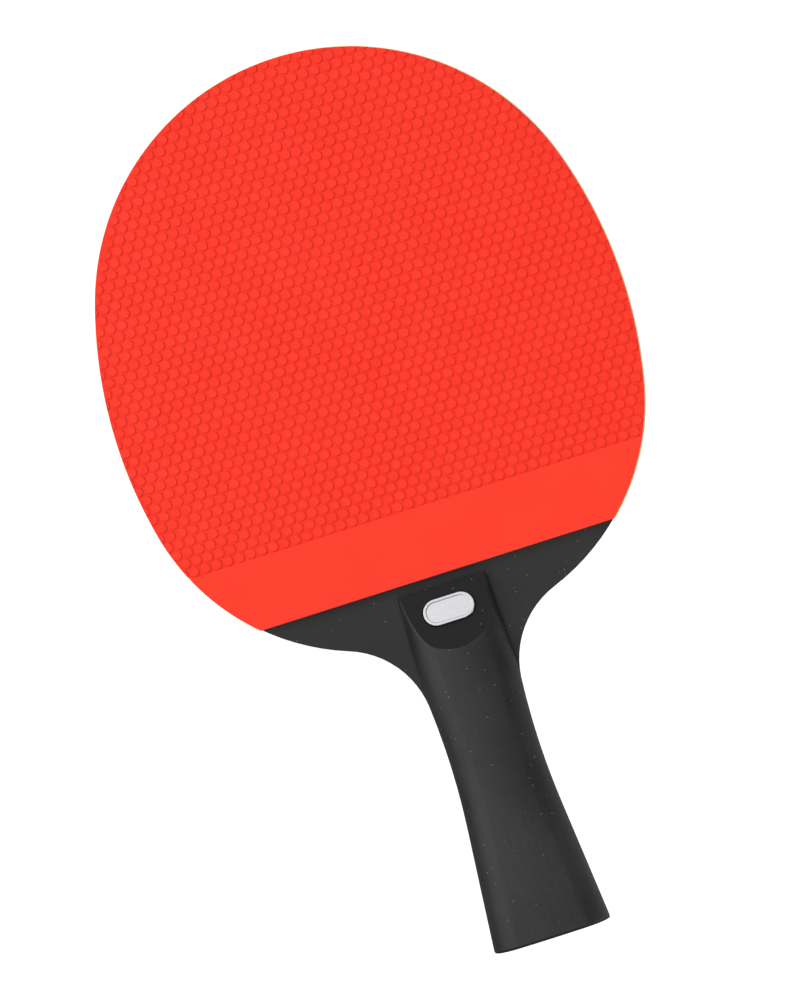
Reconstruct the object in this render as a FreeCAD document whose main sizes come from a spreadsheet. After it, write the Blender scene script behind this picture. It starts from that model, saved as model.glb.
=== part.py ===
"""Table tennis paddle: a five-ply blade, two glued handle scales and two pips-out rubbers.

Frame: the origin is the centre of the butt end face, on the middle plane of the blade.
+Y runs up the handle to the tip of the blade, +Z points out of the forehand (red) face.
Each forehand piece has a twin on the backhand side, turned half a turn about the Y axis.
All sizes are in millimetres.
"""
import FreeCAD
import Part
import Sketcher
import math
import os
import re

# Driving dimensions: alias, value, what it is.
DIMENSIONS = [
    ("total_length", 258.9, "butt end to the tip of the wood"),
    ("blade_half_width", 74.7, "widest half width of the wood"),
    ("widest_height", 169.0, "height of the widest place, level with the side arc's centre"),
    ("side_radius", 130.0, "long arc of the blade's sides"),
    ("cheek_radius", 65.0, "arc of the blade's lower corners"),
    ("cheek_centre_height", 154.7, "height of the cheek arc's centre"),
    ("shoulder_radius", 25.5, "hollow arc from the blade into the handle"),
    ("neck_half_width", 12.93, "narrowest half width of the handle"),
    ("neck_height", 55.0, "height of the narrowest place"),
    ("neck_radius", 206.0, "hollow arc of the handle's sides"),
    ("flare_start_height", 36.0, "below this the handle's sides run straight to the butt"),
    ("butt_rounding", 0.9, "rounding of the butt's edges"),
    ("core_thickness", 3.6, "middle ply"),
    ("inner_ply_thickness", 0.6, "ply on each side of the core"),
    ("face_ply_thickness", 0.6, "outer ply"),
    ("glue_film", 0.1, "each film of glue"),
    ("glue_outset", -0.2, "films of glue stop short of the edge"),
    ("sponge_thickness", 1.5, "sponge under the rubber sheet"),
    ("sponge_outset", 0.3, "how far the sponge stands out past the wood"),
    ("topsheet_thickness", 1.6, "rubber sheet with its pimples, up to their flat tops"),
    ("topsheet_outset", 0.0, "how far the rubber sheet stands out past the wood"),
    ("rubber_edge_height", 106.7, "straight lower edge of the rubbers"),
    ("scale_crown", 8.5, "height of a scale's crown above its glue face"),
    ("scale_side_radius", 8.0, "round sides of a scale, under its flatter crown"),
    ("neck_arc_top_height", 69.0, "above this the scales swell past the neck arc"),
    ("swell_foot_height", 75.0, "lowest section on the scales' outward-bowed upper stretch"),
    ("swell_height", 77.0, "widest place of that stretch, level with its arc's centre"),
    ("swell_half_width", 13.79, "half width of a scale there"),
    ("swell_radius", 431.0, "outward-bowed arc of the scales' upper stretch"),
    ("scale_top_height", 103.6, "upper end of the handle scales"),
    ("slope_start_height", 85.4, "where the thumb slope leaves the crown"),
    ("slope_end_crown", 2.6, "what the thumb slope leaves at the upper end"),
    ("slope_edge_rounding", 0.8, "rounding of the thumb slope's edge"),
    ("plate_height", 96.6, "place of the badge up the handle"),
    ("plate_half_length", 7.4, "half length of the pill-shaped badge"),
    ("plate_end_radius", 3.9, "radius of the badge's round ends"),
    ("plate_thickness", 1.0, "badge"),
    ("plate_rim_width", 0.9, "raised rim of the badge"),
    ("plate_field_depth", 0.35, "sunk field inside the rim"),
    ("plate_edge_rounding", 0.2, "rounding of the rim's outer edge"),
    ("plate_recess_depth", 0.45, "recess for the badge in the scale"),
    ("plate_clearance", 0.3, "gap round the badge in its recess"),
    ("adhesive_outset", -0.5, "the badge's adhesive stops short of its edge"),
]

value = {alias: amount for alias, amount, meaning in DIMENSIONS}
FIRST_GUESS_HALF_WIDTH = 15.0
RIGHT_TURN = math.pi / 2
# Places on a sketch's arcs and lines, as its constraints number them.
START = 1
END = 2
CENTRE = 3
# A sketch's own horizontal axis, vertical axis and origin point.
H_AXIS = -1
V_AXIS = -2
ORIGIN = (-1, 1)

# How far the forehand pieces lie above the blade's middle plane.
INNER_PLY_LEVEL = "core_thickness / 2"
FACE_PLY_LEVEL = INNER_PLY_LEVEL + " + inner_ply_thickness"
WOOD_LEVEL = FACE_PLY_LEVEL + " + face_ply_thickness"
GLUED_LEVEL = WOOD_LEVEL + " + glue_film"
SPONGE_GLUE_LEVEL = GLUED_LEVEL + " + sponge_thickness"
TOPSHEET_LEVEL = SPONGE_GLUE_LEVEL + " + glue_film"

# Half width of a handle scale at a height: on the straight flare, on the hollow neck arc and
# on the bowed stretch between the shoulders.
NECK_ARC = "(neck_half_width + neck_radius - sqrt(neck_radius ^ 2 - (%s - neck_height) ^ 2))"
FLARE_RUN = "(neck_height - flare_start_height)"
FLARE_SLOPE = FLARE_RUN + " / sqrt(neck_radius ^ 2 - " + FLARE_RUN + " ^ 2)"
FLARE = NECK_ARC % "flare_start_height" + " + (flare_start_height - %s) * " + FLARE_SLOPE
SWELL_ARC = "(swell_half_width - swell_radius + sqrt(swell_radius ^ 2 - (%s - swell_height) ^ 2))"

# How far the centre of a scale's crown arc lies under its glue face, at a half width.
CROWN_DROP = ("((%s - scale_side_radius) ^ 2 + scale_crown ^ 2 - scale_side_radius ^ 2)"
              " / (2 * (scale_crown - scale_side_radius)) - scale_crown")

# Stretches of a scale from the butt up: how the width runs, where it starts and ends, and how
# many sections it takes before the next stretch begins.
SCALE_STRETCHES = [
    (FLARE, "0", "flare_start_height", 4),
    (NECK_ARC, "flare_start_height", "neck_arc_top_height", 4),
    (NECK_ARC, "neck_arc_top_height", "swell_foot_height", 1),
    (SWELL_ARC, "swell_foot_height", "scale_top_height", 5),
]

# The thumb slope's fall, and how far it has fallen at the badge.
SLOPE_RUN = "(scale_top_height - slope_start_height)"
SLOPE_ANGLE = "atan((scale_crown - slope_end_crown) / " + SLOPE_RUN + ")"
PLATE_FALL = "(plate_height - slope_start_height) * tan(" + SLOPE_ANGLE + ")"
PLATE_LEVEL = "(scale_crown - " + PLATE_FALL + ")"

doc = FreeCAD.newDocument("TableTennisPaddle")
bodies = []


# ---------------------------------------------------------------- sheet and helpers

def make_sheet():
    """Write the driving dimensions, one row each; a cell is named by its alias."""
    sheet = doc.addObject("Spreadsheet::Sheet", "Sizes")
    for row, (alias, amount, meaning) in enumerate(DIMENSIONS, start=1):
        sheet.set("A%d" % row, meaning)
        sheet.set("B%d" % row, str(amount))
        sheet.setAlias("B%d" % row, alias)
    doc.recompute()


def bound(formula):
    """A formula written with the aliases, as an expression that reads the sheet."""
    def read(word):
        return "Sizes." + word.group() if word.group() in value else word.group()
    return re.sub("[a-z_]+", read, formula)


def vector(x, y, z=0.0):
    return FreeCAD.Vector(x, y, z)


def direction(start, end):
    """Angle of the way from one point to another, in radians."""
    return math.atan2(end.y - start.y, end.x - start.x)


def arc(centre, radius, start, end):
    """Arc of a circle, counter-clockwise from one angle to another."""
    return Part.ArcOfCircle(Part.Circle(centre, vector(0, 0, 1), radius), start, end)


def origin_plane(body, role):
    for feature in body.Origin.OriginFeatures:
        if feature.Role == role:
            return feature
    raise RuntimeError("no plane " + role)


def new_body(name):
    body = doc.addObject("PartDesign::Body", name)
    body.Label = name
    bodies.append(body)
    return body


def new_sketch(body, name, role="XY_Plane"):
    sketch = body.newObject("Sketcher::SketchObject", body.Name + "_" + name)
    sketch.AttachmentSupport = [(origin_plane(body, role), "")]
    sketch.MapMode = "FlatFace"
    return sketch


def constrain(sketch, kind, *arguments):
    return sketch.addConstraint(Sketcher.Constraint(kind, *arguments))


def measure(sketch, kind, formula, guess, *places):
    """Add a dimension to a sketch and bind it to the sheet."""
    index = constrain(sketch, kind, *places, guess)
    sketch.setExpression("Constraints[%d]" % index, bound(formula))


def pad(body, sketch, formula):
    feature = body.newObject("PartDesign::Pad", body.Name + "_pad")
    feature.Profile = sketch
    feature.setExpression("Length", bound(formula))
    return feature


def mirror_across_axis(body, feature):
    """Add the left half of a piece whose right half is drawn."""
    mirrored = body.newObject("PartDesign::Mirrored", body.Name + "_mirrored")
    mirrored.Originals = [feature]
    mirrored.MirrorPlane = (origin_plane(body, "YZ_Plane"), [""])
    body.Tip = mirrored


def place(body, side, level):
    """Lift a forehand piece to its level, or turn its twin over to the backhand side."""
    if side == "backhand":
        body.Placement = FreeCAD.Placement(vector(0, 0), vector(0, 1), 180)
        body.setExpression("Placement.Base.z", bound("-(" + level + ")"))
    else:
        body.setExpression("Placement.Base.z", bound(level))


def round_edges(body, name, formula, wanted):
    """Round the edges of a body's tip whose middle points pass a test."""
    doc.recompute()
    tip = body.Tip
    chosen = []
    for index, edge in enumerate(tip.Shape.Edges, start=1):
        if wanted(edge):
            chosen.append("Edge%d" % index)
    fillet = body.newObject("PartDesign::Fillet", body.Name + "_" + name)
    fillet.Base = (tip, chosen)
    fillet.setExpression("Radius", bound(formula))
    doc.recompute()


# ---------------------------------------------------------------- the blade's outline

def circles_meet(centre_a, radius_a, centre_b, radius_b):
    """Where two circles cross, on the right of the way from centre a to centre b."""
    way = centre_b - centre_a
    along = (radius_a ** 2 - radius_b ** 2 + way.Length ** 2) / (2 * way.Length)
    across = math.sqrt(radius_a ** 2 - along ** 2)
    way.normalize()
    return centre_a + way * along + vector(way.y, -way.x) * across


def outline_centres():
    """Centres of the outline's tangent arcs on the right side, and the tip's radius."""
    side_radius = value["side_radius"]
    side = vector(value["blade_half_width"] - side_radius, value["widest_height"])
    rise = value["total_length"] - value["widest_height"]
    tip_radius = (side_radius ** 2 - side.x ** 2 - rise ** 2) / (2 * (side_radius - rise))
    tip = vector(0, value["total_length"] - tip_radius)
    drop = value["widest_height"] - value["cheek_centre_height"]
    reach = math.sqrt((side_radius - value["cheek_radius"]) ** 2 - drop ** 2)
    cheek = vector(side.x + reach, value["cheek_centre_height"])
    neck = vector(value["neck_half_width"] + value["neck_radius"], value["neck_height"])
    shoulder = circles_meet(cheek, value["cheek_radius"] + value["shoulder_radius"],
                            neck, value["neck_radius"] - value["shoulder_radius"])
    return tip_radius, tip, side, cheek, shoulder, neck


def draw_head(sketch, outset, lowest_angle):
    """The right half of the blade from its tip down: three tangent arcs.

    outset names the dimension by which they stand out past the wood, or is "0".
    Returns the tip arc and the cheek arc, which the rest of the outline joins.
    """
    tip_radius, tip_centre, side_centre, cheek_centre = outline_centres()[:4]
    extra = value.get(outset, 0.0)
    upper = direction(side_centre, tip_centre)
    lower = direction(side_centre, cheek_centre)
    tip = sketch.addGeometry(arc(tip_centre, tip_radius + extra, upper, RIGHT_TURN))
    side = sketch.addGeometry(arc(side_centre, value["side_radius"] + extra, lower, upper))
    cheek = sketch.addGeometry(
        arc(cheek_centre, value["cheek_radius"] + extra, lowest_angle, lower))
    constrain(sketch, "Tangent", tip, START, side, END)
    constrain(sketch, "Tangent", side, START, cheek, END)
    constrain(sketch, "PointOnObject", tip, CENTRE, V_AXIS)
    measure(sketch, "DistanceY", "total_length + " + outset,
            value["total_length"] + extra, *ORIGIN, tip, END)
    measure(sketch, "Radius", "side_radius + " + outset, value["side_radius"] + extra, side)
    measure(sketch, "DistanceX", "side_radius - blade_half_width", -side_centre.x,
            side, CENTRE, *ORIGIN)
    measure(sketch, "DistanceY", "widest_height", value["widest_height"],
            *ORIGIN, side, CENTRE)
    measure(sketch, "Radius", "cheek_radius + " + outset, value["cheek_radius"] + extra, cheek)
    measure(sketch, "DistanceY", "cheek_centre_height", value["cheek_centre_height"],
            *ORIGIN, cheek, CENTRE)
    return tip, cheek


def draw_axis(sketch, tip, floor, bottom):
    """Close a right half outline: its bottom line's inner end joins the tip along the axis."""
    axis = sketch.addGeometry(
        Part.LineSegment(vector(0, bottom), vector(0, value["total_length"])))
    constrain(sketch, "Coincident", floor, END, axis, START)
    constrain(sketch, "Coincident", axis, END, tip, END)
    constrain(sketch, "Vertical", axis)
    constrain(sketch, "Horizontal", floor)
    return axis


def blade_outline(body):
    """The right half of the wood: head, hollow shoulder, hollow neck, flare and butt."""
    cheek_centre, shoulder_centre, neck_centre = outline_centres()[3:]
    to_shoulder = direction(cheek_centre, shoulder_centre)
    to_neck = direction(neck_centre, shoulder_centre)
    fall = value["neck_height"] - value["flare_start_height"]
    flare_angle = math.asin(fall / value["neck_radius"])
    rounding = value["butt_rounding"]
    flare_top = neck_centre + value["neck_radius"] * vector(-math.cos(flare_angle),
                                                            -math.sin(flare_angle))
    flare_foot = flare_top + vector(math.tan(flare_angle), -1) * (flare_top.y - rounding)
    corner_centre = flare_foot - vector(rounding, 0)

    sketch = new_sketch(body, "outline")
    tip, cheek = draw_head(sketch, "0", to_shoulder)
    shoulder = sketch.addGeometry(arc(shoulder_centre, value["shoulder_radius"],
                                      to_shoulder + math.pi, to_neck))
    neck = sketch.addGeometry(arc(neck_centre, value["neck_radius"],
                                  to_neck, math.pi + flare_angle))
    flare = sketch.addGeometry(Part.LineSegment(flare_top, flare_foot))
    corner = sketch.addGeometry(arc(corner_centre, rounding, -RIGHT_TURN, flare_angle))
    butt = sketch.addGeometry(Part.LineSegment(vector(corner_centre.x, 0), vector(0, 0)))
    axis = draw_axis(sketch, tip, butt, 0)
    constrain(sketch, "Tangent", cheek, START, shoulder, START)
    constrain(sketch, "Tangent", shoulder, END, neck, START)
    constrain(sketch, "Tangent", neck, END, flare, START)
    constrain(sketch, "Tangent", flare, END, corner, END)
    constrain(sketch, "Tangent", corner, START, butt, START)
    constrain(sketch, "Coincident", axis, START, *ORIGIN)
    measure(sketch, "Radius", "shoulder_radius", value["shoulder_radius"], shoulder)
    measure(sketch, "Radius", "neck_radius", value["neck_radius"], neck)
    measure(sketch, "DistanceX", "neck_half_width + neck_radius", neck_centre.x,
            *ORIGIN, neck, CENTRE)
    measure(sketch, "DistanceY", "neck_height", value["neck_height"], *ORIGIN, neck, CENTRE)
    measure(sketch, "DistanceY", "flare_start_height", value["flare_start_height"],
            *ORIGIN, flare, START)
    measure(sketch, "Radius", "butt_rounding", rounding, corner)
    return sketch


def rubber_outline(body, outset):
    """The right half of a rubber: the head, cut off by the straight lower edge."""
    cheek_centre = outline_centres()[3]
    cheek_radius = value["cheek_radius"] + value[outset]
    edge_height = value["rubber_edge_height"]
    cut_angle = math.asin((edge_height - cheek_centre.y) / cheek_radius)
    corner = cheek_centre + cheek_radius * vector(math.cos(cut_angle), math.sin(cut_angle))

    sketch = new_sketch(body, "outline")
    tip, cheek = draw_head(sketch, outset, cut_angle)
    edge = sketch.addGeometry(Part.LineSegment(corner, vector(0, edge_height)))
    axis = draw_axis(sketch, tip, edge, edge_height)
    constrain(sketch, "Coincident", cheek, START, edge, START)
    constrain(sketch, "PointOnObject", axis, START, V_AXIS)
    measure(sketch, "DistanceY", "rubber_edge_height", edge_height, *ORIGIN, edge, START)
    return sketch


# ---------------------------------------------------------------- blade and rubbers

def make_ply(name, thickness, side, level):
    """One ply of the wood, in the full outline of blade and handle."""
    body = new_body(name)
    mirror_across_axis(body, pad(body, blade_outline(body), thickness))
    place(body, side, level)


def make_rubber_layer(name, thickness, outset, side, level):
    """One layer of a rubber: film of glue, sponge or rubber sheet."""
    body = new_body(name)
    mirror_across_axis(body, pad(body, rubber_outline(body, outset), thickness))
    place(body, side, level)


# ---------------------------------------------------------------- handle scales

def section_sketch(body, index, height):
    """An empty sketch across the handle at a height; its x is the paddle's x, its y is up."""
    sketch = new_sketch(body, "section_%d" % index, "XZ_Plane")
    sketch.setExpression("AttachmentOffset.Base.z", bound("-(" + height + ")"))
    return sketch


def arched_section(body, index, height, half_width):
    """Section of a scale: round sides, a flatter crown tangent to both, and a glue face."""
    sketch = section_sketch(body, index, height)
    guess = FIRST_GUESS_HALF_WIDTH
    crown = value["scale_crown"]
    side_radius = value["scale_side_radius"]
    reach = guess - side_radius
    crown_radius = (reach ** 2 + crown ** 2 - side_radius ** 2) / (2 * (crown - side_radius))
    meeting = math.atan2(crown_radius - crown, reach)
    right = sketch.addGeometry(arc(vector(reach, 0), side_radius, 0, meeting))
    top = sketch.addGeometry(
        arc(vector(0, crown - crown_radius), crown_radius, meeting, math.pi - meeting))
    left = sketch.addGeometry(arc(vector(-reach, 0), side_radius, math.pi - meeting, math.pi))
    base = sketch.addGeometry(Part.LineSegment(vector(-guess, 0), vector(guess, 0)))
    constrain(sketch, "Tangent", right, END, top, START)
    constrain(sketch, "Tangent", top, END, left, START)
    constrain(sketch, "Coincident", left, END, base, START)
    constrain(sketch, "Coincident", right, START, base, END)
    constrain(sketch, "PointOnObject", base, START, H_AXIS)
    constrain(sketch, "PointOnObject", base, END, H_AXIS)
    constrain(sketch, "PointOnObject", right, CENTRE, H_AXIS)
    constrain(sketch, "Symmetric", left, CENTRE, right, CENTRE, *ORIGIN)
    constrain(sketch, "Equal", left, right)
    measure(sketch, "Radius", "scale_side_radius", side_radius, right)
    measure(sketch, "DistanceX", half_width, guess, *ORIGIN, base, END)
    measure(sketch, "DistanceY", CROWN_DROP % half_width, crown_radius - crown,
            top, CENTRE, *ORIGIN)
    return sketch


def film_section(body, index, height, half_width):
    """Section of the film of glue under a scale: a thin rectangle."""
    sketch = section_sketch(body, index, height)
    guess = FIRST_GUESS_HALF_WIDTH
    film = value["glue_film"]
    corners = [vector(-guess, 0), vector(guess, 0), vector(guess, film), vector(-guess, film)]
    sides = []
    for start, end in zip(corners, corners[1:] + corners[:1]):
        sides.append(sketch.addGeometry(Part.LineSegment(start, end)))
    for this, following in zip(sides, sides[1:] + sides[:1]):
        constrain(sketch, "Coincident", this, END, following, START)
    floor, right, roof, left = sides
    constrain(sketch, "Horizontal", roof)
    constrain(sketch, "Vertical", right)
    constrain(sketch, "Vertical", left)
    constrain(sketch, "Symmetric", floor, START, floor, END, *ORIGIN)
    constrain(sketch, "PointOnObject", floor, START, H_AXIS)
    measure(sketch, "DistanceX", "2 * (" + half_width + " + glue_outset)", 2 * guess,
            floor, START, floor, END)
    measure(sketch, "DistanceY", "glue_film", film, right, START, right, END)
    return sketch


def scale_sections():
    """Height and half width of each section of a scale, as formulas, from the butt up."""
    for width, start, end, count in SCALE_STRETCHES:
        for step in range(count):
            height = "(%s + (%s - %s) * %d / %d)" % (start, end, start, step, count)
            yield height, width % height
    yield "scale_top_height", SWELL_ARC % "scale_top_height"


def loft_sections(body, draw_section):
    """Skin one section after another from the butt to the upper end of a scale."""
    sketches = []
    for index, (height, half_width) in enumerate(scale_sections()):
        sketches.append(draw_section(body, index, height, half_width))
    doc.recompute()
    loft = body.newObject("PartDesign::AdditiveLoft", body.Name + "_loft")
    loft.Profile = sketches[0]
    loft.Sections = sketches[1:]
    loft.Ruled = False
    doc.recompute()


def cut_thumb_slope(body):
    """Plane off the crown from the slope's start down to the upper end."""
    start = vector(value["slope_start_height"], value["scale_crown"])
    end = vector(value["scale_top_height"], value["slope_end_crown"])
    above = start.y + 1
    sketch = new_sketch(body, "slope", "YZ_Plane")
    corners = [start, end, vector(end.x, above), vector(start.x, above)]
    sides = []
    for this, following in zip(corners, corners[1:] + corners[:1]):
        sides.append(sketch.addGeometry(Part.LineSegment(this, following)))
    for this, following in zip(sides, sides[1:] + sides[:1]):
        constrain(sketch, "Coincident", this, END, following, START)
    slope, front, roof, back = sides
    constrain(sketch, "Vertical", front)
    constrain(sketch, "Horizontal", roof)
    constrain(sketch, "Vertical", back)
    measure(sketch, "DistanceX", "slope_start_height", start.x, *ORIGIN, slope, START)
    measure(sketch, "DistanceY", "scale_crown", start.y, *ORIGIN, slope, START)
    measure(sketch, "DistanceX", "scale_top_height", end.x, *ORIGIN, slope, END)
    measure(sketch, "DistanceY", "slope_end_crown", end.y, *ORIGIN, slope, END)
    measure(sketch, "DistanceY", "scale_crown + 1", above, *ORIGIN, roof, END)
    cut(body, "slope_cut", sketch, "4 * neck_half_width", midplane=True)


def cut(body, name, sketch, depth, midplane=False):
    """Pocket a sketch out of a body and check that it took something away."""
    doc.recompute()
    before = body.Shape.Volume
    pocket = body.newObject("PartDesign::Pocket", body.Name + "_" + name)
    pocket.Profile = sketch
    pocket.Midplane = midplane
    pocket.setExpression("Length", bound(depth))
    doc.recompute()
    if body.Shape.Volume > before - 1:
        raise RuntimeError(pocket.Label + " cut nothing")


def pill_sketch(body, name, outset):
    """A pill shape across the handle, grown past the badge's outline by an amount."""
    sketch = new_sketch(body, name)
    reach = value["plate_half_length"] - value["plate_end_radius"]
    radius = value["plate_end_radius"]
    right = sketch.addGeometry(arc(vector(reach, 0), radius, -RIGHT_TURN, RIGHT_TURN))
    left = sketch.addGeometry(arc(vector(-reach, 0), radius, RIGHT_TURN, 3 * RIGHT_TURN))
    upper = sketch.addGeometry(Part.LineSegment(vector(reach, radius), vector(-reach, radius)))
    lower = sketch.addGeometry(
        Part.LineSegment(vector(-reach, -radius), vector(reach, -radius)))
    constrain(sketch, "Tangent", right, END, upper, START)
    constrain(sketch, "Tangent", upper, END, left, START)
    constrain(sketch, "Tangent", left, END, lower, START)
    constrain(sketch, "Tangent", lower, END, right, START)
    constrain(sketch, "Horizontal", upper)
    constrain(sketch, "PointOnObject", right, CENTRE, H_AXIS)
    constrain(sketch, "Symmetric", left, CENTRE, right, CENTRE, *ORIGIN)
    measure(sketch, "Radius", "plate_end_radius + " + outset, radius, right)
    measure(sketch, "DistanceX", "plate_half_length - plate_end_radius", reach,
            *ORIGIN, right, CENTRE)
    return sketch


def make_scale(side):
    """One half of the grip: lofted arched sections with a planed thumb slope."""
    body = new_body(side + "_handle_scale")
    loft_sections(body, arched_section)
    cut_thumb_slope(body)
    slope_start = value["slope_start_height"]

    def at_butt(edge):
        return edge.BoundBox.YMax < 0.01 and edge.BoundBox.ZMax > 1

    def on_slope_side(edge):
        box = edge.BoundBox
        return box.YMin > slope_start - 1 and box.ZMin > 1 and box.YLength > 1

    round_edges(body, "butt_rounding", "butt_rounding", at_butt)
    round_edges(body, "slope_rounding", "slope_edge_rounding", on_slope_side)
    if side == "forehand":
        recess = pill_sketch(body, "recess", "plate_clearance")
        recess.setExpression("AttachmentOffset.Base.y", bound("plate_height"))
        recess.setExpression("AttachmentOffset.Base.z", bound(PLATE_LEVEL))
        tilt_to_slope(recess, "AttachmentOffset")
        cut(body, "recess_cut", recess, "plate_recess_depth")
    place(body, side, GLUED_LEVEL)


def tilt_to_slope(item, placement):
    """Tilt an object's placement about the X axis to lie along the thumb slope."""
    setattr(item, placement, FreeCAD.Placement(vector(0, 0), vector(-1, 0), 1))
    item.setExpression(placement + ".Rotation.Angle", bound(SLOPE_ANGLE))


def make_scale_glue(side):
    body = new_body(side + "_scale_glue")
    loft_sections(body, film_section)
    place(body, side, WOOD_LEVEL)


# ---------------------------------------------------------------- badge

def place_on_slope(body, lift):
    """Put a body on the forehand thumb slope, lifted off it by an amount."""
    lift = "(" + lift + ")"
    tilt_to_slope(body, "Placement")
    body.setExpression(
        "Placement.Base.y",
        bound("plate_height + " + lift + " * sin(" + SLOPE_ANGLE + ")"))
    body.setExpression(
        "Placement.Base.z",
        bound(GLUED_LEVEL + " + " + PLATE_LEVEL + " + " + lift + " * cos(" + SLOPE_ANGLE + ")"))


def make_badge_plate():
    """A plain metal plate with a raised rim and nothing written on it."""
    body = new_body("badge_plate")
    pad(body, pill_sketch(body, "outline", "0"), "plate_thickness")
    doc.recompute()
    field = pill_sketch(body, "field", "(-plate_rim_width)")
    field.setExpression("AttachmentOffset.Base.z", bound("plate_thickness"))
    cut(body, "field_cut", field, "plate_field_depth")
    top = value["plate_thickness"]

    def on_rim(edge):
        box = edge.BoundBox
        return box.ZMin > top - 0.01
    round_edges(body, "rim_rounding", "plate_edge_rounding", on_rim)
    place_on_slope(body, "glue_film - plate_recess_depth")


def make_badge_adhesive():
    body = new_body("badge_adhesive")
    pad(body, pill_sketch(body, "outline", "adhesive_outset"), "glue_film")
    place_on_slope(body, "-plate_recess_depth")


# ---------------------------------------------------------------- check and export

def check_document():
    """Stop if any object failed or any sub-part is not one valid solid."""
    for item in doc.Objects:
        if "Invalid" in item.State or "Error" in item.State:
            raise RuntimeError(item.Label + " failed")
    for body in bodies:
        shape = body.Shape
        if shape.isNull() or not shape.isValid() or len(shape.Solids) != 1:
            raise RuntimeError(body.Label + " is not one valid solid")


def export_parts():
    os.makedirs("parts", exist_ok=True)
    for body in bodies:
        body.Shape.exportStep("parts/" + body.Label + ".step")
        print("%-26s %9.1f mm3" % (body.Label, body.Shape.Volume))


make_sheet()
make_ply("core_ply", "core_thickness", "middle", "-core_thickness / 2")
for side in ("forehand", "backhand"):
    make_ply(side + "_inner_ply", "inner_ply_thickness", side, INNER_PLY_LEVEL)
    make_ply(side + "_face_ply", "face_ply_thickness", side, FACE_PLY_LEVEL)
    make_rubber_layer(side + "_blade_glue", "glue_film", "glue_outset", side, WOOD_LEVEL)
    make_rubber_layer(side + "_sponge", "sponge_thickness", "sponge_outset",
                      side, GLUED_LEVEL)
    make_rubber_layer(side + "_sponge_glue", "glue_film", "glue_outset",
                      side, SPONGE_GLUE_LEVEL)
    make_rubber_layer(side + "_topsheet", "topsheet_thickness", "topsheet_outset",
                      side, TOPSHEET_LEVEL)
    make_scale_glue(side)
    make_scale(side)
make_badge_plate()
make_badge_adhesive()
doc.recompute()
check_document()
export_parts()
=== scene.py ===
import bpy
import bmesh
import math
from mathutils import Matrix, Vector


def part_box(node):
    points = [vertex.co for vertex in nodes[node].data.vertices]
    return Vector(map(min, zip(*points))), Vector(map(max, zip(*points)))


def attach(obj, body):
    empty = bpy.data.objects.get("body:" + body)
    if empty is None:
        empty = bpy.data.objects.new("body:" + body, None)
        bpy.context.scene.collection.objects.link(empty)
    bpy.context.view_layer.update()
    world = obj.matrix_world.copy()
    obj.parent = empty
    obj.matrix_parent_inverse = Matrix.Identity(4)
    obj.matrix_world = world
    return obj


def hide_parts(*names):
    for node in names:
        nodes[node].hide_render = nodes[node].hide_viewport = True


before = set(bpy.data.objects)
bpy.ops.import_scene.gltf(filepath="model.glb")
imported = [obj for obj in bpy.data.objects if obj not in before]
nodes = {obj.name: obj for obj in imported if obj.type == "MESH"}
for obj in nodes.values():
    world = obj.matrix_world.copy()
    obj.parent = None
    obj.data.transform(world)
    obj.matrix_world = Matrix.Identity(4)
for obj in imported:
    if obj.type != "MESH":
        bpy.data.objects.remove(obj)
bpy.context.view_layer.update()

MM = 0.001

# The head's outline is a chain of tangent arcs; every layer's arcs share these centres.
SIDE_CENTRE = Vector((-55.3, 169.0)) * MM
CHEEK_CENTRE_HEIGHT = 154.7 * MM
SIDE_TO_CHEEK_RADIUS = 65.0 * MM
# Straight steps that each arc of the right half is drawn with: cheek, side and tip.
CHEEK_STEPS = 60
SIDE_STEPS = 110
TIP_STEPS = 70

# Pimples: short round pegs in rows, each row half a pitch along from the last.
PIMPLE_PITCH = 3.33 * MM
ROW_PITCH = PIMPLE_PITCH * math.sqrt(3) / 2
PIMPLE_HEIGHT = 0.42 * MM
PIMPLE_TOP_RADIUS = 1.22 * MM
PIMPLE_FOOT_RADIUS = 1.32 * MM
PIMPLE_EDGE = 0.07 * MM
PIMPLE_SINK = 0.05 * MM
PIMPLE_SIDES = 16
PIMPLE_SEED = 7
PIMPLE_ROWS = 50
PIMPLE_COLUMNS = 48
FIRST_ROW = 21.5 * MM
PLAIN_BAND = 19.9 * MM
# How far below the pimples' tops the painted shade between the pimples starts, and where it is
# deepest.
SHADE_START = 0.3 * PIMPLE_HEIGHT
SHADE_END = 0.9 * PIMPLE_HEIGHT
BAND_EDGE = 0.12 * MM

# Each sheet was stuck down a hair off its sponge's middle, as seen from its own side.
FOREHAND_SHEET_SHIFT = Vector((-0.15, 0.0)) * MM
BACKHAND_SHEET_SHIFT = Vector((0.05, 0.0)) * MM

# An outline point this close to the band's edge, along the paddle, counts as on it.
NEAR = 0.2 * MM

# Corners this close in height are on the same level.
SAME_LEVEL = 0.01 * MM

# How tall the slanting cut at the sponge's upper edge is.
SPONGE_CUT = 0.3 * MM

# How far from the butt the highest part of the grip ends and the thumb slope begins.
SLOPE_START = 85.4 * MM

# Black for wood that faces the paddle's ends, partly lacquer soaked into end grain and partly
# painted shade that darkens the thumb slope, and how far the wood has to face the paddle's ends,
# as the y part of its normal, for that to start to show and to show in full.
END_GRAIN_AND_SHADE_BLACK = "#0C0C0C"
END_GRAIN_AND_SHADE_START = 0.18
END_GRAIN_AND_SHADE_FULL = 0.28

# Dust nibs in the lacquer: the size in millimetres of the cells they are strewn in, a nib's
# radius as a share of a cell, and the share of cells without one.
NIB_CELL = 1.5
NIB_RADIUS = 0.09
NIB_FREE = 0.75

# Edges that turn more sharply than this are shaded as corners.
CORNER_ANGLE = math.radians(35)

# A pimple is left out if its middle is further outside the outline than this share of its
# foot's radius.
LEAVE_OUT_SHARE = 0.7


# ---------------------------------------------------------------- small helpers

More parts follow.
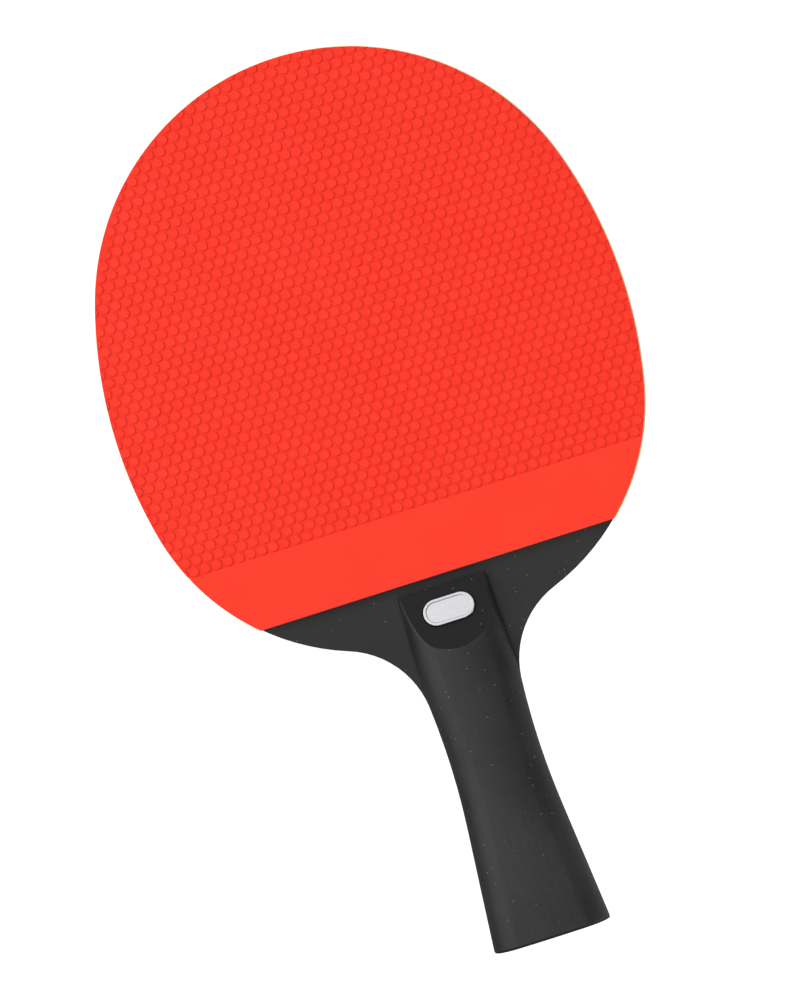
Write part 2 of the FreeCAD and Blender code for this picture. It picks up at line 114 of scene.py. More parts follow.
def linear(code):
    """An sRGB hex colour as linear red, green, blue and full alpha."""
    channels = [int(code[start:start + 2], 16) / 255 for start in (1, 3, 5)]
    straight = [c / 12.92 if c <= 0.04045 else ((c + 0.055) / 1.055) ** 2.4 for c in channels]
    return (*straight, 1.0)


def add(tree, kind, inputs=None, **settings):
    """Add a node with its settings; each input is a value or the socket that feeds it."""
    node = tree.nodes.new(kind)
    for name, setting in settings.items():
        setattr(node, name, setting)
    for name, source in (inputs or {}).items():
        if isinstance(source, bpy.types.NodeSocket):
            tree.links.new(source, node.inputs[name])
        else:
            node.inputs[name].default_value = source
    return node


def new_material(name):
    """A material with an empty Principled shader; returns it, its tree and the shader."""
    material = bpy.data.materials.new(name)
    material.use_nodes = True
    tree = material.node_tree
    return material, tree, tree.nodes["Principled BSDF"]


def per(length_mm):
    """Pattern scale, in repeats to the metre, of a feature this many millimetres long."""
    return 1.0 / (length_mm * MM)


# ---------------------------------------------------------------- materials

# The background paper turns from grey to pale over this far on each side of the paddle's
# middle line, and glows this much where the camera sees it.
PAPER_GRADE = 20 * MM
PAPER_GLOW = 0.95


def moulded_rubber(name, face, well, dust):
    """Natural rubber sheet, hot-moulded and left unpolished: strong even colour, a soft wide
    highlight, a very fine skin texture, and painted shade, a darker colour, low between the
    pimples."""
    material, tree, shader = new_material(name)
    place = add(tree, "ShaderNodeTexCoord").outputs["Object"]
    level = add(tree, "ShaderNodeSeparateXYZ", {"Vector": place}).outputs["Z"]
    height = add(tree, "ShaderNodeMath", {0: level}, operation="ABSOLUTE").outputs[0]
    top_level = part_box("forehand_topsheet")[1].z
    # Painted shade: the colour turns to the well colour towards the pimples' feet, between them.
    well_shade_mask = add(tree, "ShaderNodeMapRange",
                {"Value": height, "From Min": top_level - SHADE_END,
                 "From Max": top_level - SHADE_START}).outputs["Result"]
    # Batch mottling of the compound, about 14 mm across.
    mottle = add(tree, "ShaderNodeTexNoise",
                 {"Vector": place, "Scale": per(14), "Detail": 3.0}).outputs["Fac"]
    # Skin of the mould, about 0.25 mm.
    skin = add(tree, "ShaderNodeTexNoise",
               {"Vector": place, "Scale": per(0.25), "Detail": 2.0}).outputs["Fac"]
    single = add(tree, "ShaderNodeAttribute", attribute_name="pimple").outputs["Fac"]
    tone = add(tree, "ShaderNodeMath", {0: mottle, 1: single}, operation="ADD").outputs[0]
    share = add(tree, "ShaderNodeMapRange",
                {"Value": tone, "From Min": 0.3, "From Max": 1.5,
                 "To Min": 0.45, "To Max": 0.0}).outputs["Result"]
    colour = add(tree, "ShaderNodeMix", {0: well_shade_mask, 6: linear(well), 7: linear(face)},
                 data_type="RGBA").outputs[2]
    dusted = add(tree, "ShaderNodeMix", {0: share, 6: colour, 7: linear(dust)},
                 data_type="RGBA").outputs[2]
    tree.links.new(dusted, shader.inputs["Base Color"])
    gloss = add(tree, "ShaderNodeMapRange",
                {"Value": mottle, "To Min": 0.5, "To Max": 0.62}).outputs["Result"]
    tree.links.new(gloss, shader.inputs["Roughness"])
    bump = add(tree, "ShaderNodeBump",
               {"Strength": 0.35, "Distance": 0.03 * MM, "Height": skin}).outputs["Normal"]
    tree.links.new(bump, shader.inputs["Normal"])
    shader.inputs["IOR"].default_value = 1.52
    shader.inputs["Specular IOR Level"].default_value = 0.25
    return material


def lacquered_wood(name, shade, light_shade, grain, speckled):
    """Wood under thin satin lacquer, sprayed and rubbed down: the grain telegraphs through
    as faint lines, the sheen is low and wide, and a few specks of dust sit in the film.
    grain is the size of a grain line in millimetres along x, y and z."""
    material, tree, shader = new_material(name)
    place = add(tree, "ShaderNodeTexCoord").outputs["Object"]
    lines = add(tree, "ShaderNodeMapping",
                {"Vector": place, "Scale": [per(size) for size in grain]}).outputs["Vector"]
    fibre = add(tree, "ShaderNodeTexNoise",
                {"Vector": lines, "Scale": 1.0, "Detail": 4.0, "Roughness": 0.6,
                 "Distortion": 0.3}).outputs["Fac"]
    # Thicker and thinner film, about 20 mm across.
    film = add(tree, "ShaderNodeTexNoise",
               {"Vector": place, "Scale": per(20), "Detail": 2.0}).outputs["Fac"]
    # Rubbed-down film over the pores, about 0.7 mm.
    grit = add(tree, "ShaderNodeTexNoise",
               {"Vector": place, "Scale": per(0.7), "Detail": 2.0}).outputs["Fac"]
    surface = add(tree, "ShaderNodeMath", {0: fibre, 1: grit}, operation="ADD").outputs[0]
    share = add(tree, "ShaderNodeMath", {0: surface, 1: film},
                operation="MULTIPLY").outputs[0]
    worn = add(tree, "ShaderNodeMapRange",
               {"Value": share, "From Min": 0.25, "From Max": 0.85}).outputs["Result"]
    colour = add(tree, "ShaderNodeMix", {0: worn, 6: linear(shade), 7: linear(light_shade)},
                 data_type="RGBA").outputs[2]
    # Where the surface turns across the fibres, which run along y, it is darker and duller: the
    # darkening is partly end grain that drinks the lacquer and partly painted shade that darkens
    # the thumb slope.
    facing = add(tree, "ShaderNodeTexCoord").outputs["Normal"]
    turned = add(tree, "ShaderNodeSeparateXYZ", {"Vector": facing}).outputs["Y"]
    steep = add(tree, "ShaderNodeMath", {0: turned}, operation="ABSOLUTE").outputs[0]
    end_grain_and_shade = add(tree, "ShaderNodeMapRange",
                    {"Value": steep, "From Min": END_GRAIN_AND_SHADE_START,
                     "From Max": END_GRAIN_AND_SHADE_FULL}).outputs["Result"]
    colour = add(tree, "ShaderNodeMix",
                 {0: end_grain_and_shade, 6: colour, 7: linear(END_GRAIN_AND_SHADE_BLACK)},
                 data_type="RGBA").outputs[2]
    if speckled:
        # Dust nibs, a few millimetres apart and up to 0.3 mm across.
        cells = add(tree, "ShaderNodeTexVoronoi", {"Vector": place, "Scale": per(NIB_CELL)})
        near = add(tree, "ShaderNodeMath", {0: cells.outputs["Distance"], 1: NIB_RADIUS},
                   operation="LESS_THAN").outputs[0]
        chance = add(tree, "ShaderNodeSeparateColor",
                     {"Color": cells.outputs["Color"]}).outputs["Red"]
        chosen = add(tree, "ShaderNodeMath", {0: chance, 1: NIB_FREE},
                     operation="GREATER_THAN").outputs[0]
        nib = add(tree, "ShaderNodeMath", {0: near, 1: chosen},
                  operation="MULTIPLY").outputs[0]
        colour = add(tree, "ShaderNodeMix", {0: nib, 6: colour, 7: linear("#7C7C7A")},
                     data_type="RGBA").outputs[2]
    tree.links.new(colour, shader.inputs["Base Color"])
    gloss = add(tree, "ShaderNodeMapRange",
                {"Value": film, "To Min": 0.4, "To Max": 0.52}).outputs["Result"]
    dulled = add(tree, "ShaderNodeMix", {0: end_grain_and_shade, 2: gloss, 3: 0.8}).outputs[0]
    tree.links.new(dulled, shader.inputs["Roughness"])
    bump = add(tree, "ShaderNodeBump",
               {"Strength": 0.5, "Distance": 0.04 * MM, "Height": fibre}).outputs["Normal"]
    tree.links.new(bump, shader.inputs["Normal"])
    shader.inputs["IOR"].default_value = 1.5
    shader.inputs["Specular IOR Level"].default_value = 0.4
    return material


def open_sponge(name, light, dark):
    """Foamed rubber, cut with a knife: matt and creamy, with fine burst cells whose hollows are
    darkened with painted shade.
    """
    material, tree, shader = new_material(name)
    place = add(tree, "ShaderNodeTexCoord").outputs["Object"]
    # Cells of about 0.3 mm, a little coarser than real ones so that they show.
    cells = add(tree, "ShaderNodeTexVoronoi",
                {"Vector": place, "Scale": per(0.3)}).outputs["Distance"]
    # Painted shade: the cells' hollows, where the bump is lowest, get the dark colour.
    pores = add(tree, "ShaderNodeMapRange",
                {"Value": cells, "From Min": 0.1, "From Max": 0.5}).outputs["Result"]
    colour = add(tree, "ShaderNodeMix", {0: pores, 6: linear(dark), 7: linear(light)},
                 data_type="RGBA").outputs[2]
    tree.links.new(colour, shader.inputs["Base Color"])
    bump = add(tree, "ShaderNodeBump",
               {"Strength": 0.6, "Distance": 0.08 * MM, "Height": pores}).outputs["Normal"]
    tree.links.new(bump, shader.inputs["Normal"])
    shader.inputs["Roughness"].default_value = 0.9
    return material


def dried_glue(name, colour, roughness):
    """A pressed film of glue: slightly cloudy, with drag lines from the brush."""
    material, tree, shader = new_material(name)
    place = add(tree, "ShaderNodeTexCoord").outputs["Object"]
    drag = add(tree, "ShaderNodeMapping",
               {"Vector": place, "Scale": (per(0.8), per(9), per(0.8))}).outputs["Vector"]
    streaks = add(tree, "ShaderNodeTexNoise",
                  {"Vector": drag, "Scale": 1.0, "Detail": 3.0}).outputs["Fac"]
    darker = [channel * 0.7 for channel in linear(colour)[:3]] + [1.0]
    tint = add(tree, "ShaderNodeMix", {0: streaks, 6: linear(colour), 7: darker},
               data_type="RGBA").outputs[2]
    tree.links.new(tint, shader.inputs["Base Color"])
    bump = add(tree, "ShaderNodeBump",
               {"Strength": 0.3, "Distance": 0.02 * MM, "Height": streaks}).outputs["Normal"]
    tree.links.new(bump, shader.inputs["Normal"])
    shader.inputs["Roughness"].default_value = roughness
    return material


def brushed_aluminium(name):
    """Stamped aluminium, brushed along its length: a bright silver plate whose highlight
    breaks into fine lines."""
    material, tree, shader = new_material(name)
    place = add(tree, "ShaderNodeTexCoord").outputs["Object"]
    # Brush lines 0.08 mm apart and about 6 mm long.
    lines = add(tree, "ShaderNodeMapping",
                {"Vector": place, "Scale": (per(6), per(0.08), per(0.08))}).outputs["Vector"]
    brush = add(tree, "ShaderNodeTexNoise",
                {"Vector": lines, "Scale": 1.0, "Detail": 2.0}).outputs["Fac"]
    colour = add(tree, "ShaderNodeMix",
                 {0: brush, 6: linear("#C6C7C9"), 7: linear("#AEAFB2")},
                 data_type="RGBA").outputs[2]
    tree.links.new(colour, shader.inputs["Base Color"])
    gloss = add(tree, "ShaderNodeMapRange",
                {"Value": brush, "To Min": 0.2, "To Max": 0.36}).outputs["Result"]
    tree.links.new(gloss, shader.inputs["Roughness"])
    bump = add(tree, "ShaderNodeBump",
               {"Strength": 0.2, "Distance": 0.01 * MM, "Height": brush}).outputs["Normal"]
    tree.links.new(bump, shader.inputs["Normal"])
    shader.inputs["Metallic"].default_value = 1.0
    return material


def paper_sweep(name):
    """Matt background paper with a painted glow where the camera sees it, bright enough that the
    camera sees plain white and no shadow of the paddle; the paddle itself sees grey paper, paler
    to its right, so its sides stay dark."""
    material, tree, shader = new_material(name)
    place = add(tree, "ShaderNodeTexCoord").outputs["Object"]
    tooth = add(tree, "ShaderNodeTexNoise",
                {"Vector": place, "Scale": per(1.5), "Detail": 2.0}).outputs["Fac"]
    across = add(tree, "ShaderNodeSeparateXYZ", {"Vector": place}).outputs["X"]
    side = add(tree, "ShaderNodeMapRange",
               {"Value": across, "From Min": -PAPER_GRADE,
                "From Max": PAPER_GRADE}).outputs["Result"]
    grade = add(tree, "ShaderNodeMix",
                {0: side, 6: linear("#787878"), 7: linear("#F3F3F3")},
                data_type="RGBA").outputs[2]
    colour = add(tree, "ShaderNodeMix", {0: tooth, 6: grade, 7: linear("#808080")},
                 data_type="RGBA").outputs[2]
    tree.links.new(colour, shader.inputs["Base Color"])
    shader.inputs["Roughness"].default_value = 0.95
    shader.inputs["Specular IOR Level"].default_value = 0.1
    # Painted glow, for the camera only, that whitens the paper and hides the paddle's shadow on
    # it.
    seen = add(tree, "ShaderNodeLightPath").outputs["Is Camera Ray"]
    glow = add(tree, "ShaderNodeMath", {0: seen, 1: PAPER_GLOW},
               operation="MULTIPLY").outputs[0]
    shader.inputs["Emission Color"].default_value = linear("#FFFFFF")
    tree.links.new(glow, shader.inputs["Emission Strength"])
    return material


# ---------------------------------------------------------------- the rubbers' outline

def arc_points(centre, radius, start, end, count):
    """Points on an arc from one angle to another, evenly spaced, without the last."""
    for index in range(count):
        angle = start + (end - start) * index / count
        yield centre + radius * Vector((math.cos(angle), math.sin(angle)))


def head_outline(node):
    """Outline of a rubber layer, counter-clockwise from its right lower corner.

    The layer's own box gives its width, its tip and its straight lower edge.
    """
    low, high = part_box(node)
    side_radius = high.x - SIDE_CENTRE.x
    rise = high.y - SIDE_CENTRE.y
    tip_radius = (side_radius ** 2 - SIDE_CENTRE.x ** 2 - rise ** 2) / (2 * (side_radius - rise))
    tip_centre = Vector((0, high.y - tip_radius))
    drop = SIDE_CENTRE.y - CHEEK_CENTRE_HEIGHT
    reach = math.sqrt(SIDE_TO_CHEEK_RADIUS ** 2 - drop ** 2)
    cheek_centre = Vector((SIDE_CENTRE.x + reach, CHEEK_CENTRE_HEIGHT))
    cheek_radius = side_radius - SIDE_TO_CHEEK_RADIUS
    lowest = math.asin((low.y - cheek_centre.y) / cheek_radius)
    lower = -math.asin(drop / SIDE_TO_CHEEK_RADIUS)
    upper = math.atan2(tip_centre.y - SIDE_CENTRE.y, -SIDE_CENTRE.x)
    right = list(arc_points(cheek_centre, cheek_radius, lowest, lower, CHEEK_STEPS))
    right += arc_points(SIDE_CENTRE, side_radius, lower, upper, SIDE_STEPS)
    right += arc_points(tip_centre, tip_radius, upper, math.pi / 2, TIP_STEPS)
    left = [Vector((-point.x, point.y)) for point in reversed(right)]
    return right + [Vector((0, high.y))] + left


def keep_piece(name, mesh, side, node):
    """Turn a forehand mesh over if it is for the backhand, and enter it as a new piece."""
    if side == "backhand":
        mesh.transform(Matrix.Rotation(math.pi, 4, "Y"))
    mesh.shade_smooth()
    mesh.set_sharp_from_angle(angle=CORNER_ANGLE)
    piece = bpy.data.objects.new(side + "_" + name, mesh)
    bpy.context.scene.collection.objects.link(piece)
    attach(piece, "root")
    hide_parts(side + "_" + node)


# ---------------------------------------------------------------- sponges

def make_sponge(side, material, shift):
    """The sponge, with its upper edge cut off at a slant: it is flush with the rubber sheet
    at the top and stands out below, so that a pale line shows round the sheet."""
    low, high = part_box("forehand_sponge")
    foot = head_outline("forehand_sponge")
    brow = [point + shift for point in head_outline("forehand_topsheet")]
    levels = [(foot, low.z), (foot, high.z - SPONGE_CUT), (brow, high.z)]
    shape = bmesh.new()
    rings = [[shape.verts.new((*point, level)) for point in ring] for ring, level in levels]
    count = len(foot)
    for lower, upper in zip(rings, rings[1:]):
        for index in range(count):
            after = (index + 1) % count
            shape.faces.new([lower[index], lower[after], upper[after], upper[index]])
    shape.faces.new(list(reversed(rings[0])))
    shape.faces.new(rings[-1])
    mesh = bpy.data.meshes.new("sponge")
    shape.to_mesh(mesh)
    shape.free()
    mesh.materials.append(material)
    keep_piece("cut_sponge", mesh, side, "sponge")


def outline_loop(points):
    """A closed loop of edges at height 0, which the pimples are trimmed to."""
    mesh = bpy.data.meshes.new("outline")
    edges = [(index, (index + 1) % len(points)) for index in range(len(points))]
    mesh.from_pydata([(*point, 0.0) for point in points], edges, [])
    loop = bpy.data.objects.new("outline", mesh)
    bpy.context.scene.collection.objects.link(loop)
    return loop


# ---------------------------------------------------------------- pimpled sheets

def sheet_body(points, floor, base_top, top, band_top):
    """The sheet without its pimples: a thin base with a plain raised band along its lower
    edge, flush with the pimples' tops. Closed, with softened edges round the band."""
    shape = bmesh.new()
    right = [p for p in points if p.x > 0]
    crossing = next(p for p in right if p.y >= band_top)
    corner = Vector((crossing.x, band_top))
    mirrored_corner = Vector((-corner.x, band_top))
    field = [p for p in points if p.y > band_top + NEAR]
    band_right = [p for p in points if p.x > 0 and p.y < band_top - NEAR]
    band_left = [p for p in points if p.x < 0 and p.y < band_top - NEAR]
    ring = band_right + [corner] + field + [mirrored_corner] + band_left
    bottom = [shape.verts.new((*p, floor)) for p in ring]
    middle = {index: shape.verts.new((*p, base_top)) for index, p in enumerate(ring)
              if p.y >= band_top - NEAR}
    upper = {index: shape.verts.new((*p, top)) for index, p in enumerate(ring)
             if p.y <= band_top + NEAR}
    count = len(ring)
    right_corner = len(band_right)
    left_corner = right_corner + len(field) + 1
    for index in range(count):
        after = (index + 1) % count
        in_field = right_corner <= index < left_corner
        tops = middle if in_field else upper
        wall = [bottom[index], bottom[after], tops[after], tops[index]]
        if after == right_corner:
            wall.insert(2, middle[right_corner])
        if index == left_corner:
            wall.append(middle[left_corner])
        shape.faces.new(wall)
    shape.faces.new(list(reversed(bottom)))
    shape.faces.new([middle[index] for index in range(right_corner, left_corner + 1)])
    band = list(range(left_corner, count)) + list(range(right_corner + 1))
    shape.faces.new([upper[index] for index in band])
    shape.faces.new([middle[right_corner], middle[left_corner],
                     upper[left_corner], upper[right_corner]])
    bmesh.ops.recalc_face_normals(shape, faces=shape.faces)
    rim = [edge for edge in shape.edges
           if all(abs(vert.co.z - top) < SAME_LEVEL for vert in edge.verts)]
    bmesh.ops.bevel(shape, geom=rim, offset=BAND_EDGE, segments=2, affect="EDGES")
    mesh = bpy.data.meshes.new("sheet")
    shape.to_mesh(mesh)
    shape.free()
    return mesh


def pimple_tree():
    """Geometry Nodes that stand a field of pimples on a sheet and trim them to its outline.

    A grid of points has every other row moved half a pitch along, and those well outside
    the outline are dropped. Every pimple is a short tapered peg with a softened edge. Any
    part that reaches past the outline is pressed back onto it, which leaves the flat flank
    of a pimple that the knife cut through.
    """
    tree = bpy.data.node_groups.new("pimples", "GeometryNodeTree")
    sockets = [("Sheet", "NodeSocketGeometry"), ("Outline", "NodeSocketObject"),
               ("Field width", "NodeSocketFloat"), ("Field length", "NodeSocketFloat"),
               ("Rows", "NodeSocketInt"), ("Columns", "NodeSocketInt"),
               ("Stagger", "NodeSocketFloat"), ("Field centre", "NodeSocketVector"),
               ("Outline centre", "NodeSocketVector"), ("Straight height", "NodeSocketFloat"),
               ("Foot radius", "NodeSocketFloat"), ("Shoulder radius", "NodeSocketFloat"),
               ("Edge", "NodeSocketFloat"), ("Crown share", "NodeSocketFloat"),
               ("Seed", "NodeSocketInt"), ("Material", "NodeSocketMaterial")]
    for name, kind in sockets:
        tree.interface.new_socket(name, in_out="INPUT", socket_type=kind)
    tree.interface.new_socket("Sheet", in_out="OUTPUT", socket_type="NodeSocketGeometry")
    given = add(tree, "NodeGroupInput").outputs

    # How far outside the outline a place is, and the nearest place on the outline.
    place = add(tree, "GeometryNodeInputPosition").outputs[0]
    outline = add(tree, "GeometryNodeObjectInfo", {"Object": given["Outline"]},
                  transform_space="ORIGINAL").outputs["Geometry"]
    flat = add(tree, "ShaderNodeVectorMath", {0: place, 1: (1, 1, 0)},
               operation="MULTIPLY").outputs[0]
    near = add(tree, "GeometryNodeProximity", {"Geometry": outline, "Sample Position": flat},
               target_element="EDGES").outputs
    away = add(tree, "ShaderNodeVectorMath", {0: flat, 1: near["Position"]},
               operation="SUBTRACT").outputs[0]
    outwards = add(tree, "ShaderNodeVectorMath",
                   {0: near["Position"], 1: given["Outline centre"]},
                   operation="SUBTRACT").outputs[0]
    side = add(tree, "ShaderNodeVectorMath", {0: away, 1: outwards},
               operation="DOT_PRODUCT").outputs["Value"]
    sign = add(tree, "ShaderNodeMath", {0: side}, operation="SIGN").outputs[0]
    reach = add(tree, "ShaderNodeMath", {0: sign, 1: near["Distance"]},
                operation="MULTIPLY").outputs[0]

    # The staggered rows, without the points that would stand outside.
    grid = add(tree, "GeometryNodeMeshGrid",
               {"Size X": given["Field width"], "Size Y": given["Field length"],
                "Vertices X": given["Columns"], "Vertices Y": given["Rows"]}).outputs["Mesh"]
    index = add(tree, "GeometryNodeInputIndex").outputs[0]
    row = add(tree, "ShaderNodeMath", {0: index, 1: given["Rows"]},
              operation="FLOORED_MODULO").outputs[0]
    odd = add(tree, "ShaderNodeMath", {0: row, 1: 2.0}, operation="FLOORED_MODULO").outputs[0]
    along = add(tree, "ShaderNodeMath", {0: odd, 1: given["Stagger"]},
                operation="MULTIPLY").outputs[0]
    step = add(tree, "ShaderNodeCombineXYZ", {"X": along}).outputs[0]
    move = add(tree, "ShaderNodeVectorMath", {0: given["Field centre"], 1: step},
               operation="ADD").outputs[0]
    laid = add(tree, "GeometryNodeSetPosition", {"Geometry": grid, "Offset": move}).outputs[0]
    most = add(tree, "ShaderNodeMath", {0: given["Foot radius"], 1: LEAVE_OUT_SHARE},
               operation="MULTIPLY").outputs[0]
    too_far = add(tree, "ShaderNodeMath", {0: reach, 1: most},
                  operation="GREATER_THAN").outputs[0]
    kept = add(tree, "GeometryNodeDeleteGeometry", {"Geometry": laid, "Selection": too_far},
               domain="POINT").outputs[0]

    # One pimple, its foot on the point.
    peg = add(tree, "GeometryNodeMeshCone",
              {"Vertices": PIMPLE_SIDES, "Radius Top": given["Shoulder radius"],
               "Radius Bottom": given["Foot radius"], "Depth": given["Straight height"]})
    crown = add(tree, "GeometryNodeExtrudeMesh",
                {"Mesh": peg.outputs["Mesh"], "Selection": peg.outputs["Top"],
                 "Offset Scale": given["Edge"]})
    pimple = add(tree, "GeometryNodeScaleElements",
                 {"Geometry": crown.outputs["Mesh"], "Selection": crown.outputs["Top"],
                  "Scale": given["Crown share"]}).outputs[0]
    stood = add(tree, "GeometryNodeInstanceOnPoints",
                {"Points": kept, "Instance": pimple}).outputs[0]
    chance = add(tree, "FunctionNodeRandomValue", {"Seed": given["Seed"]},
                 data_type="FLOAT").outputs[1]
    marked = add(tree, "GeometryNodeStoreNamedAttribute",
                 {"Geometry": stood, "Name": "pimple", "Value": chance},
                 data_type="FLOAT", domain="INSTANCE").outputs[0]
    real = add(tree, "GeometryNodeRealizeInstances", {"Geometry": marked}).outputs[0]

    # The knife's cut along the outline.
    height = add(tree, "ShaderNodeSeparateXYZ", {0: place}).outputs["Z"]
    edge = add(tree, "ShaderNodeSeparateXYZ", {0: near["Position"]}).outputs
    pressed = add(tree, "ShaderNodeCombineXYZ",
                  {"X": edge["X"], "Y": edge["Y"], "Z": height}).outputs[0]
    outside = add(tree, "ShaderNodeMath", {0: reach, 1: 0.0},
                  operation="GREATER_THAN").outputs[0]
    cut = add(tree, "GeometryNodeSetPosition",
              {"Geometry": real, "Selection": outside, "Position": pressed}).outputs[0]
    joined = add(tree, "GeometryNodeJoinGeometry", {"Geometry": cut})
    tree.links.new(given["Sheet"], joined.inputs["Geometry"])
    whole = add(tree, "GeometryNodeRealizeInstances",
                {"Geometry": joined.outputs[0]}).outputs[0]
    finished = add(tree, "GeometryNodeSetMaterial",
                   {"Geometry": whole, "Material": given["Material"]}).outputs[0]
    add(tree, "NodeGroupOutput", {"Sheet": finished})
    return tree


def make_topsheet(side, tree, material, shift):
    """One rubber's pimpled sheet, modelled on the forehand side and turned over if need be."""
    low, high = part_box("forehand_topsheet")
    points = [point + shift for point in head_outline("forehand_topsheet")]
    base_top = high.z - PIMPLE_HEIGHT
    body = sheet_body(points, low.z, base_top, high.z, low.y + PLAIN_BAND)
    blank = bpy.data.objects.new("blank_" + side, body)
    bpy.context.scene.collection.objects.link(blank)
    loop = outline_loop(points)
    modifier = blank.modifiers.new("pimples", "NODES")
    modifier.node_group = tree
    field_length = (PIMPLE_ROWS - 1) * ROW_PITCH
    shoulder = PIMPLE_TOP_RADIUS + PIMPLE_EDGE
    settings = {
        "Outline": loop, "Field width": (PIMPLE_COLUMNS - 1) * PIMPLE_PITCH,
        "Field length": field_length, "Rows": PIMPLE_ROWS, "Columns": PIMPLE_COLUMNS,
        "Stagger": PIMPLE_PITCH / 2,
        "Field centre": (0.0, low.y + FIRST_ROW + field_length / 2, base_top - PIMPLE_SINK),
        "Outline centre": (0.0, SIDE_CENTRE.y, 0.0),
        "Straight height": PIMPLE_HEIGHT + PIMPLE_SINK - PIMPLE_EDGE,
        "Foot radius": PIMPLE_FOOT_RADIUS, "Shoulder radius": shoulder, "Edge": PIMPLE_EDGE,
        "Crown share": PIMPLE_TOP_RADIUS / shoulder, "Seed": PIMPLE_SEED,
        "Material": material}
    for item in tree.interface.items_tree:
        if item.in_out == "INPUT" and item.name in settings:
            modifier[item.identifier] = settings[item.name]
    bpy.context.view_layer.update()
    evaluated = blank.evaluated_get(bpy.context.evaluated_depsgraph_get())
    mesh = bpy.data.meshes.new_from_object(evaluated)
    bpy.data.objects.remove(blank)
    bpy.data.objects.remove(loop)
    keep_piece("pimpled_sheet", mesh, side, "topsheet")


# ---------------------------------------------------------------- dressing the CAD pieces

def dress(node, material):
    """Give a kept CAD piece its real finish."""
    for holder in nodes[node].material_slots:
        holder.material = material


def dress_frame():
    """Finishes of the pieces that stay as the CAD made them."""
    face = lacquered_wood("satin black lacquer on limba veneer", "#151514", "#232322",
                          (0.5, 9, 0.5), True)
    cross = lacquered_wood("satin black lacquer on cross-laid veneer", "#151514", "#1D1D1C",
                           (18, 0.5, 0.5), False)
    core = lacquered_wood("satin black lacquer on ayous core", "#181817", "#222221",
                          (0.8, 30, 0.8), False)
    grip = lacquered_wood("satin black lacquer on handle wood", "#171716", "#282827",
                          (0.6, 8, 0.6), True)
    cement = dried_glue("dried rubber cement", "#CDBE96", 0.45)
    wood_glue = dried_glue("dried wood glue", "#9C8251", 0.4)
    tape = dried_glue("double-sided tape", "#B9B8B2", 0.5)
    dress("core_ply", core)
    for side in ("forehand", "backhand"):
        dress(side + "_inner_ply", cross)
        dress(side + "_face_ply", face)
        dress(side + "_handle_scale", grip)
        dress(side + "_blade_glue", cement)
        dress(side + "_sponge_glue", cement)
        dress(side + "_scale_glue", wood_glue)
    dress("badge_plate", brushed_aluminium("brushed aluminium"))
    dress("badge_adhesive", tape)


# ---------------------------------------------------------------- stage, lights and camera

FLOOR_SIZE = 6.0
# Left between the paddle and the floor, so that they don't touch.
FLOOR_GAP = 0.02 * MM

# The camera's height above the forehand rubber, its roll, the point it stands over, how much
# of the rubber's plane its view holds from top to bottom, and its sensor in millimetres.
CAMERA_HEIGHT = 1.4
CAMERA_TURN = math.radians(-17.66)
CAMERA_AIM = Vector((-3.8, 129.9, 0.0)) * MM
VIEW_HEIGHT = 280.8 * MM
SENSOR = 36.0

# The tent's strength at the view's left and right, and the directions between which it
# fades, as cosines from straight to the right.
TENT_LEFT = 1.02
TENT_RIGHT = 0.13
FADE_START = -0.05
FADE_END = 0.55

# A large softbox up and left, and a low strip at the lower right that picks out the sponge's
# edge and the grip's right side. Each lamp's name, its place to the right, up the view and
# above the paddle, its width and height, and its power.
LAMPS = [
    ("softbox", (-0.84, 0.30, 0.88), (1.3, 1.3), 7.5),
    ("edge_strip", (0.56, -0.27, 0.12), (0.3, 0.1), 1.5),
]


def lay_floor():
    """A paper floor for the paddle to lie back on, just under the upper end of the back
    scale's crown and the far edge of the backhand rubber."""
    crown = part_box("backhand_handle_scale")[0].z
    rubber_low, rubber_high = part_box("backhand_topsheet")
    run = rubber_high.y - SLOPE_START
    tilt = math.atan2(rubber_low.z - crown, run)
    mesh = bpy.data.meshes.new("floor")
    half = FLOOR_SIZE / 2
    corners = [(-half, -half), (half, -half), (half, half), (-half, half)]
    spots = [(x, y, crown - FLOOR_GAP + (y - SLOPE_START) * math.tan(tilt)) for x, y in corners]
    mesh.from_pydata(spots, [], [(0, 1, 2, 3)])
    mesh.materials.append(paper_sweep("white background paper"))
    floor = bpy.data.objects.new("floor", mesh)
    bpy.context.scene.collection.objects.link(floor)


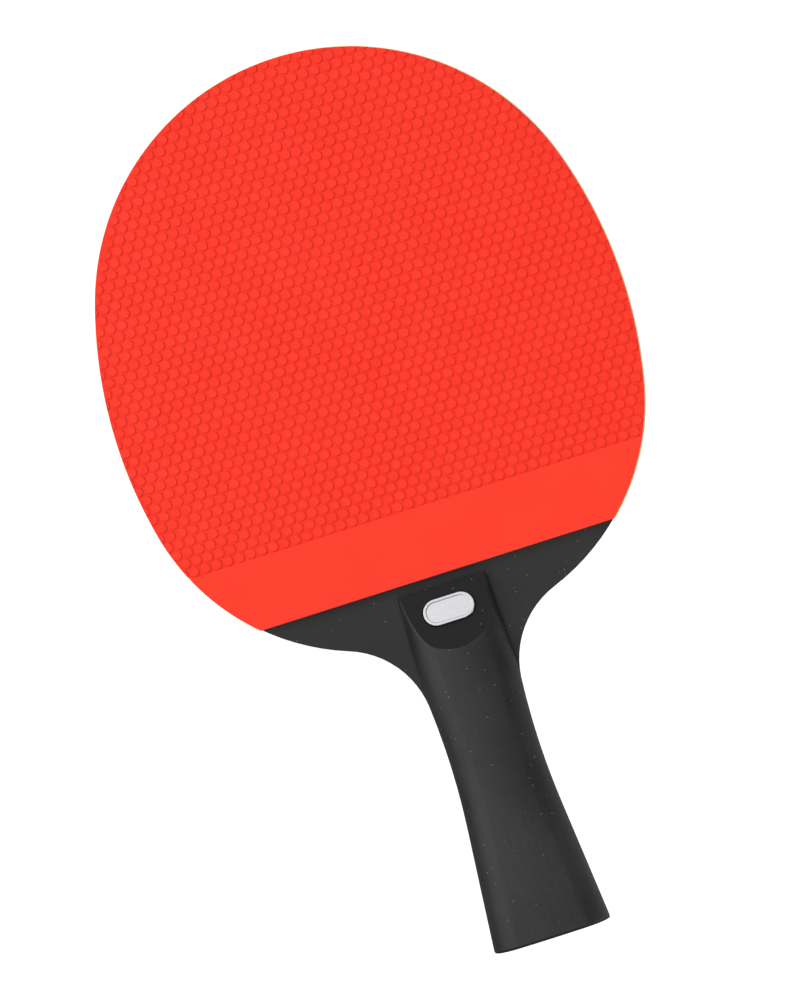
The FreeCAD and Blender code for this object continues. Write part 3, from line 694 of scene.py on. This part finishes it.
def light_scene():
    """A pale tent that falls off towards the view's right, a softbox and a low strip.

    Where the camera looks straight at the tent it is plain white."""
    right = Vector((math.cos(CAMERA_TURN), math.sin(CAMERA_TURN), 0))
    up = Vector((-right.y, right.x, 0))
    world = bpy.data.worlds.new("studio")
    world.use_nodes = True
    tree = world.node_tree
    direction = add(tree, "ShaderNodeTexCoord").outputs["Generated"]
    across = add(tree, "ShaderNodeVectorMath", {0: direction, 1: right},
                 operation="DOT_PRODUCT").outputs["Value"]
    strength = add(tree, "ShaderNodeMapRange",
                   {"Value": across, "From Min": FADE_START, "From Max": FADE_END,
                    "To Min": TENT_LEFT, "To Max": TENT_RIGHT},
                   interpolation_type="SMOOTHSTEP").outputs["Result"]
    tent = tree.nodes["Background"]
    tent.inputs["Color"].default_value = (1, 1, 1, 1)
    tree.links.new(strength, tent.inputs["Strength"])
    backdrop = add(tree, "ShaderNodeBackground", {"Color": (1, 1, 1, 1), "Strength": 1.0})
    seen = add(tree, "ShaderNodeLightPath").outputs["Is Camera Ray"]
    chosen = add(tree, "ShaderNodeMixShader",
                 {0: seen, 1: tent.outputs[0], 2: backdrop.outputs[0]})
    tree.links.new(chosen.outputs[0], tree.nodes["World Output"].inputs["Surface"])
    bpy.context.scene.world = world
    for name, (across, along, height), size, power in LAMPS:
        lamp = bpy.data.lights.new(name, "AREA")
        lamp.shape = "RECTANGLE"
        lamp.size, lamp.size_y = size
        lamp.energy = power
        holder = bpy.data.objects.new(name, lamp)
        bpy.context.scene.collection.objects.link(holder)
        offset = across * right + along * up + Vector((0, 0, height))
        holder.location = CAMERA_AIM + offset
        holder.rotation_euler = (-offset).to_track_quat("-Z", "Y").to_euler()
        holder.visible_camera = False


def place_camera():
    """Straight above the blade's face, rolled so that the handle points down to the right."""
    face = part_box("forehand_topsheet")[1].z
    lens = bpy.data.cameras.new("camera")
    lens.sensor_fit = "VERTICAL"
    lens.sensor_height = SENSOR
    lens.lens = SENSOR * CAMERA_HEIGHT / VIEW_HEIGHT
    camera = bpy.data.objects.new("camera", lens)
    bpy.context.scene.collection.objects.link(camera)
    camera.location = CAMERA_AIM + Vector((0, 0, face + CAMERA_HEIGHT))
    camera.rotation_euler = (0, 0, CAMERA_TURN)
    bpy.context.scene.camera = camera
    bpy.context.scene.view_settings.view_transform = "Standard"


place_camera()
light_scene()
lay_floor()
pimples = pimple_tree()
make_topsheet("forehand", pimples,
              moulded_rubber("moulded red rubber", "#FA3019", "#EF2814", "#FF3E27"),
              FOREHAND_SHEET_SHIFT)
make_topsheet("backhand", pimples,
              moulded_rubber("moulded black rubber", "#1C1C1C", "#151515", "#2A2A2A"),
              BACKHAND_SHEET_SHIFT)
foam = open_sponge("cream rubber sponge", "#FFE6AC", "#EBCB8C")
make_sponge("forehand", foam, FOREHAND_SHEET_SHIFT)
make_sponge("backhand", foam, BACKHAND_SHEET_SHIFT)
dress_frame()
